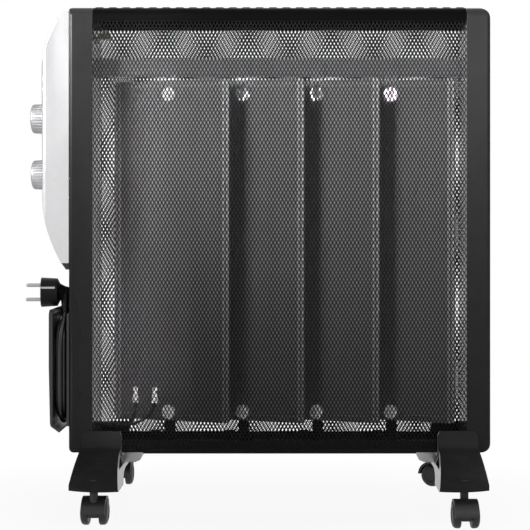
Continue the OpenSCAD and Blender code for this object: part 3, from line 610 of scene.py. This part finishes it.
@dataclass(frozen=True)
class Studio:
    """Camera, floor, plain background and soft lamps."""

    eye: Point = (0.039, -1.450, 0.351)
    lens: float = 76.95
    shift: tuple[float, float] = (-25 / 530, -35 / 530)
    room_light: float = 0.022
    floor_radius: float = 3.0
    footprint: tuple[float, float] = (0.34, 0.16)

    def place_camera(self) -> None:
        """Stand the camera level, square to the front."""
        data = bpy.data.cameras.new("camera")
        data.lens = self.lens
        data.shift_x, data.shift_y = self.shift
        camera = bpy.data.objects.new("camera", data)
        camera.location = self.eye
        camera.rotation_euler = (math.radians(90), 0, 0)
        bpy.context.scene.collection.objects.link(camera)
        bpy.context.scene.camera = camera

    def light(self) -> None:
        """Set the background, the lamps and the floor."""
        self._room()
        for lamp in LAMPS:
            lamp.hang()
        self._floor()
        bpy.context.scene.view_settings.view_transform = "Standard"

    def _room(self) -> None:
        """White all round to the eye and in gloss, and a plain level of light on everything else."""
        world = bpy.data.worlds.new("room")
        bpy.context.scene.world = world
        world.use_nodes = True
        world.node_tree.nodes.clear()
        tree = Tree(world.node_tree)
        rays = tree.node("LightPath").outputs
        seen = tree.math("MAXIMUM", tree.math("MAXIMUM", rays["Is Camera Ray"], rays["Is Glossy Ray"]),
                         rays["Is Transmission Ray"])
        strength = tree.spread(seen, 0.0, 1.0, self.room_light, 1.0)
        white = tree.node("Background", {"Color": WHITE, "Strength": strength})
        tree.node("OutputWorld", {"Surface": white.outputs[0]})

    def _floor(self) -> None:
        """Lay a pale floor that passes into the white background away from the heater."""
        deselect()
        bpy.ops.mesh.primitive_circle_add(vertices=96, radius=self.floor_radius, fill_type="NGON",
                                          location=(BODY_X, 0, 0))
        floor = settle(bpy.context.object, "floor")
        material = bpy.data.materials.new("floor_white")
        material.use_nodes = True
        tree = Tree(material.node_tree)
        shader = material.node_tree.nodes["Principled BSDF"]
        place = tree.node("TexCoord").outputs["Object"]
        shares = (1 / self.footprint[0], 1 / self.footprint[1], 1.0)
        footprint = tree.node("VectorMath", {0: place, 1: shares}, operation="MULTIPLY").outputs[0]
        away = tree.node("VectorMath", {0: footprint}, operation="LENGTH").outputs["Value"]
        grey = tree.blend(tree.noise(place, 30.0, 3.0), (0.93, 0.93, 0.93, 1), (0.96, 0.96, 0.96, 1))
        material.node_tree.links.new(grey, shader.inputs["Base Color"])
        shader.inputs["Roughness"].default_value = 0.7
        shader.inputs["Specular IOR Level"].default_value = 0.1
        white = tree.node("Emission", {"Color": WHITE, "Strength": 1.0})
        rays = tree.node("LightPath").outputs
        seen = tree.math("MAXIMUM", rays["Is Camera Ray"], tree.math("MULTIPLY", rays["Is Glossy Ray"], 0.85))
        share = tree.math("MULTIPLY", seen, tree.spread(away, 0.6, 1.9, 0.92, 1.0))
        mixed = tree.node("MixShader", {0: share, 1: shader.outputs[0], 2: white.outputs[0]})
        material.node_tree.links.new(mixed.outputs[0], material.node_tree.nodes["Material Output"].inputs[0])
        dress(floor, material)


# The mains cord


@dataclass(frozen=True)
class MainsCord:
    """The mains cord: up from its gland, wound on the store in two layers, and up to the parked plug.

    Lengths are in millimetres, from the case's middle and from the floor. A lane is a turn's place along X
    and its radius. On each rear run the cord changes to the next lane: it begins first_change below high_z on
    the first run, and change_gap higher on each run after it.
    """

    diameter: float = 6.5
    low_z: float = 139.0
    high_z: float = 213.0
    lanes: tuple[tuple[float, float], ...] = ((-272, 19.5), (-278.6, 19.5), (-278.6, 26), (-272, 26),
                                              (-275.3, 31.6))
    lead: tuple[Point, ...] = ((-272, 0, 153), (-272, -0.3, 160), (-272, -2, 169), (-272, -5.3, 178),
                               (-272, -10, 187), (-272, -14.8, 196), (-272, -18.3, 205))
    tail: tuple[Point, ...] = ((-275.3, -31.6, 200), (-275.2, -31.6, 210), (-274.6, -31, 219.5),
                               (-273.4, -28.4, 228.5), (-272, -23.2, 237.3), (-271.2, -17.3, 246.8))
    last_rise: tuple[float, ...] = (147.0, 155.0, 163.0, 171.0, 179.0, 187.0)
    first_change: float = 48.0
    change_gap: float = 14.0
    change_run: float = 24.0
    arc_steps: int = 16
    step: float = 4.0
    end_gap: float = 1.0

    def build(self, shop: Workshop) -> bpy.types.Object:
        """Args:
            shop: The finishes.

        Returns:
            The cord.
        """
        route = self.route()
        curve = bpy.data.curves.new("mains_cord", "CURVE")
        curve.dimensions = "3D"
        curve.bevel_depth = self.diameter / 2 * MM
        curve.bevel_resolution = 4
        curve.use_fill_caps = True
        line = curve.splines.new("POLY")
        line.points.add(len(route) - 1)
        for point, place in zip(line.points, route):
            point.co = (*place, 1.0)
        line.use_smooth = True
        cord = bpy.data.objects.new("mains_cord", curve)
        bpy.context.scene.collection.objects.link(cord)
        cord.data.materials.append(shop.finish("cord_jacket"))
        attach(cord, "heater")
        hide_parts("cord_lead", "cord_hank", "cord_tail")
        return cord

    def route(self) -> list[Vector]:
        """Work out the centre line.

        Returns:
            Points in metres in the row frame, a few millimetres apart.
        """
        points = list(self.lead)
        for number, (lane, following) in enumerate(zip(self.lanes, self.lanes[1:])):
            change_z = self.high_z - self.first_change + self.change_gap * number
            points += self._turn(lane, following, change_z)
        outer, radius = self.lanes[-1]
        points += [(outer, -radius, z) for z in self.last_rise]
        points += self.tail
        return [Vector((x * MM + BODY_X, y * MM, z * MM)) for x, y, z in self._even(points)]

    def _turn(self, lane: tuple[float, float], following: tuple[float, float],
              change_z: float) -> list[Point]:
        """One turn: over the top, down the rear while it changes to the lane that follows, and up the front.

        Args:
            lane: Place along X and radius of the turn's upper half.
            following: The same for its lower half.
            change_z: Height at which it begins to change.

        Returns:
            The turn's points, up to the top of its front run.
        """
        (x, radius), (next_x, next_radius) = lane, following
        arc = [math.pi * i / self.arc_steps for i in range(self.arc_steps + 1)]
        points = [(x, -radius * math.cos(turn), self.high_z + radius * math.sin(turn)) for turn in arc]
        z = self.high_z - self.step
        while z > self.low_z + self.end_gap:
            part = min(max((change_z - z) / self.change_run, 0.0), 1.0)
            part = part * part * (3 - 2 * part)
            points.append((x + (next_x - x) * part, radius + (next_radius - radius) * part, z))
            z -= self.step
        points += [(next_x, next_radius * math.cos(turn), self.low_z - next_radius * math.sin(turn))
                   for turn in arc]
        if following is not self.lanes[-1]:
            z = self.low_z + self.step
            while z < self.high_z - self.end_gap:
                points.append((next_x, -next_radius, z))
                z += self.step
        return points

    def _even(self, points: Sequence[Point]) -> list[Vector]:
        """Smooth the line lightly and space its points evenly."""
        line = [Vector(p) for p in points]
        for _ in range(2):
            line = [line[0], line[1]] + [line[i] * 0.5 + (line[i - 1] + line[i + 1]) * 0.25
                                         for i in range(2, len(line) - 2)] + [line[-2], line[-1]]
        even, left = [line[0]], self.step
        for a, b in zip(line, line[1:]):
            gap = (b - a).length
            while gap >= left:
                a = a + (b - a) * (left / gap)
                even.append(a)
                gap, left = (b - a).length, self.step
            left -= gap
        if (even[-1] - line[-1]).length < self.step * 0.6:
            even.pop()
        return even + [line[-1]]


# The case

FLAT = 1e-7  # what is lower than this lies on the sheet's back
CLOSE = 1e-5  # places nearer than this are the same
WELD = 0.00002  # points of neighbouring diamonds nearer than this become one


@dataclass(frozen=True)
class Grille:
    """Expanded metal: upright diamonds between ridged strands, in a plain border, in millimetres."""

    pitch_x: float = 4.65
    pitch_z: float = 8.34
    strand: float = 1.29
    thickness: float = 1.0
    border: float = 0.9
    overlap: float = 0.3

    def build(self, side: Side, shop: Workshop) -> bpy.types.Object:
        """Make one grille in the place of its CAD node.

        Args:
            side: Broad side that it covers.
            shop: The finishes.

        Returns:
            The grille.
        """
        front = side is Side.FRONT
        node = f"{side.value}_mesh"
        low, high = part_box(node)
        width, height = high.x - low.x, high.z - low.z
        lattice = self._lattice(width - 2 * self.border * MM, height - 2 * self.border * MM)
        rim = self._rim(width, height)
        take(lattice, rim)
        bpy.ops.object.join()
        grille = bpy.context.object
        grille.rotation_euler = (math.radians(90), 0, 0 if front else math.radians(180))
        grille.location = ((low.x + high.x) / 2, high.y if front else low.y, (low.z + high.z) / 2)
        settle(grille, f"{side.value}_grille")
        dress(grille, shop.finish("grille_paint"))
        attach(grille, "heater")
        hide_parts(node)
        log.info("%s: %d faces", grille.name, len(grille.data.polygons))
        return grille

    def _lattice(self, width: float, height: float) -> bpy.types.Object:
        """Model one diamond, copy it over the sheet and cut the sheet to size."""
        a, b = self.pitch_x / 2 * MM, self.pitch_z / 2 * MM
        tile = self._diamond(a, b)
        columns = math.ceil(width / (2 * a)) + 2
        rows = math.ceil(height / (2 * b)) + 2
        for count, offset in ((columns, (2 * a, 0, 0)), (rows, (0, 2 * b, 0))):
            copies = tile.modifiers.new("copies", "ARRAY")
            copies.count = count
            copies.use_relative_offset = False
            copies.use_constant_offset = True
            copies.constant_offset_displace = offset
        apply_modifiers(tile)
        tile.location = (-a * (columns - 0.5), -b * (rows - 0.5), 0)
        settle(tile, "lattice")
        outward(tile, WELD)
        with editing(tile):
            for axis, reach in ((0, width / 2), (1, height / 2)):
                for way in (-1, 1):
                    at, facing = [0.0, 0.0, 0.0], [0.0, 0.0, 0.0]
                    at[axis], facing[axis] = way * reach, float(way)
                    bpy.ops.mesh.select_all(action="SELECT")
                    bpy.ops.mesh.bisect(plane_co=at, plane_no=facing, use_fill=True, clear_outer=True)
        return tile

    def _diamond(self, a: float, b: float) -> bpy.types.Object:
        """Model the ridged strands of one diamond, and of the one that lies half a pitch across and up.

        Args:
            a: Half the pitch across.
            b: Half the pitch up.

        Returns:
            The strands, flat on their back.
        """
        deselect()
        bpy.ops.mesh.primitive_circle_add(vertices=4, radius=1.0, fill_type="NGON")
        tile = bpy.context.object
        tile.scale = (a, b, 1.0)
        settle(tile, "lattice")
        with editing(tile):
            bpy.ops.mesh.select_all(action="SELECT")
            bpy.ops.mesh.inset(thickness=self.strand / 2 * MM, depth=0)
            bpy.ops.mesh.delete(type="FACE")
            pick(Part.VERT, lambda at, _: abs(at.x) / a + abs(at.y) / b > 0.95)
            pull(z=self.thickness * MM)
            hole_x, hole_y = self._hole(a, b)
            over, up = a - hole_x, b - hole_y
            for way in (1, -1):
                pick(Part.EDGE, lambda at, _: at.z < FLAT and at.x * way > 0 and 0 < at.y < hole_y)
                extrude(over * way, up)
            pick(Part.EDGE, lambda at, _: at.z < FLAT and abs(at.x + over / 2) < CLOSE
                 and abs(at.y - (hole_y + b) / 2) < CLOSE)
            extrude(over, up)
            bpy.ops.mesh.select_all(action="SELECT")
            bpy.ops.mesh.duplicate_move(TRANSFORM_OT_translate={"value": (a, b, 0)})
        return tile

    def _hole(self, a: float, b: float) -> tuple[float, float]:
        """Half the width and half the height of a diamond's opening."""
        share = 1 - self.strand / 2 * MM * math.hypot(a, b) / (a * b)
        return a * share, b * share

    def _rim(self, width: float, height: float) -> bpy.types.Object:
        """Model the plain border that the lattice's ends run into."""
        deselect()
        bpy.ops.mesh.primitive_plane_add(size=1.0)
        rim = bpy.context.object
        rim.scale = (width, height, 1.0)
        settle(rim, "rim")
        with editing(rim):
            bpy.ops.mesh.select_all(action="SELECT")
            bpy.ops.mesh.inset(thickness=(self.border + self.overlap) * MM, depth=0)
            bpy.ops.mesh.delete(type="FACE")
            bpy.ops.mesh.select_all(action="SELECT")
            extrude(z=self.thickness * MM)
        outward(rim)
        return rim


@dataclass(frozen=True)
class Case:
    """Side columns, top cover, bottom tray and both grilles."""

    grille: Grille = Grille()

    def build(self, shop: Workshop) -> None:
        """Build the grilles and dress the case."""
        shop.dress_nodes("column_satin", "left_column", "right_column")
        shop.dress_nodes("cover_satin", "top_cover")
        shop.dress_nodes("tray_paint", "base_tray")
        shop.dress_nodes("screw_black", "rear_screws")
        for side in Side:
            self.grille.build(side, shop)


@dataclass(frozen=True)
class PanelStack:
    """The four heating panels, their rail, hangers, washers and wires. Lengths are in millimetres."""

    count: int = 4
    pitch: float = 94.6
    middle: float = 3.2

    def build(self, shop: Workshop) -> None:
        """Dress the panels and what holds them."""
        for i in range(self.count):
            about = BODY_X + (self.middle + (i - (self.count - 1) / 2) * self.pitch) * MM
            # Each front plate gets its own coat, with a highlight painted along its hem folds.
            coat = replace(FINISHES["panel_coat"], name=f"panel_coat_{i + 1}", hem_about=about)
            dress(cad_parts[f"front_plate_{i + 1}"], coat.build(shop.shared))
            log.info("front_plate_%d: %s", i + 1, coat.name)
        shop.dress_nodes("panel_back", "rear_plates")
        shop.dress_nodes("mica_sheet", "mica_elements")
        shop.dress_nodes("washer_zinc", "panel_washers", "panel_screws")
        shop.dress_nodes("bright_plate", "element_terminals")
        shop.dress_nodes("rail_zinc", "upper_rail", "upper_hangers")
        shop.dress_nodes("tray_paint", "lower_hangers")
        shop.dress_nodes("cord_jacket", "element_wires")
        shop.dress_nodes("ceramic_bead", "thermal_cutout")


@dataclass(frozen=True)
class ControlEnd:
    """The control housing with its knobs, switches and lamp."""

    def build(self, shop: Workshop) -> None:
        """Dress the control housing."""
        shop.dress_nodes("inner_moulding", "control_base", "mode_switch_body", "tip_switch_body")
        shop.dress_nodes("silver_paint", "control_cover")
        shop.dress_nodes("dial_red", "dial_plate", "indicator_lens")
        shop.dress_nodes("knob_silver", "thermostat_knob", "mode_knob")
        shop.dress_nodes("shaft_steel", "thermostat_shaft", "mode_shaft", "tip_pendulum")
        shop.dress_nodes("ceramic_bead", "thermostat_body")


@dataclass(frozen=True)
class CordStore:
    """The bracket that the cord is wound on, with the gland and the parked plug."""

    def build(self, shop: Workshop) -> None:
        """Dress the cord store."""
        shop.dress_nodes("store_moulding", "cord_bracket")
        shop.dress_nodes("plug_rubber", "cable_gland", "plug_body")
        shop.dress_nodes("pin_nickel", "plug_pins")


@dataclass(frozen=True)
class Undercarriage:
    """Two saddle feet on four twin-wheel castors."""

    def build(self, shop: Workshop) -> None:
        """Dress the feet and the castors."""
        shop.dress_nodes("foot_satin", "left_foot", "right_foot")
        shop.dress_nodes("castor_nylon", "castor_sockets", *(f"castor_hood_{corner}" for corner in CORNERS),
                         *(f"castor_stem_{corner}" for corner in CORNERS))
        shop.dress_nodes("wheel_nylon", *(f"castor_wheels_{corner}" for corner in CORNERS))
        shop.dress_nodes("shaft_steel", "foot_screws", *(f"castor_axle_{corner}" for corner in CORNERS))


def main() -> None:
    """Build and dress the heater, piece by piece."""
    logging.basicConfig(level=logging.INFO, format="%(name)s: %(message)s")
    studio = Studio()
    studio.place_camera()
    shop = Workshop.open()
    MainsCord().build(shop)
    Case().build(shop)
    PanelStack().build(shop)
    ControlEnd().build(shop)
    CordStore().build(shop)
    Undercarriage().build(shop)
    studio.light()


if __name__ == "__main__":
    main()
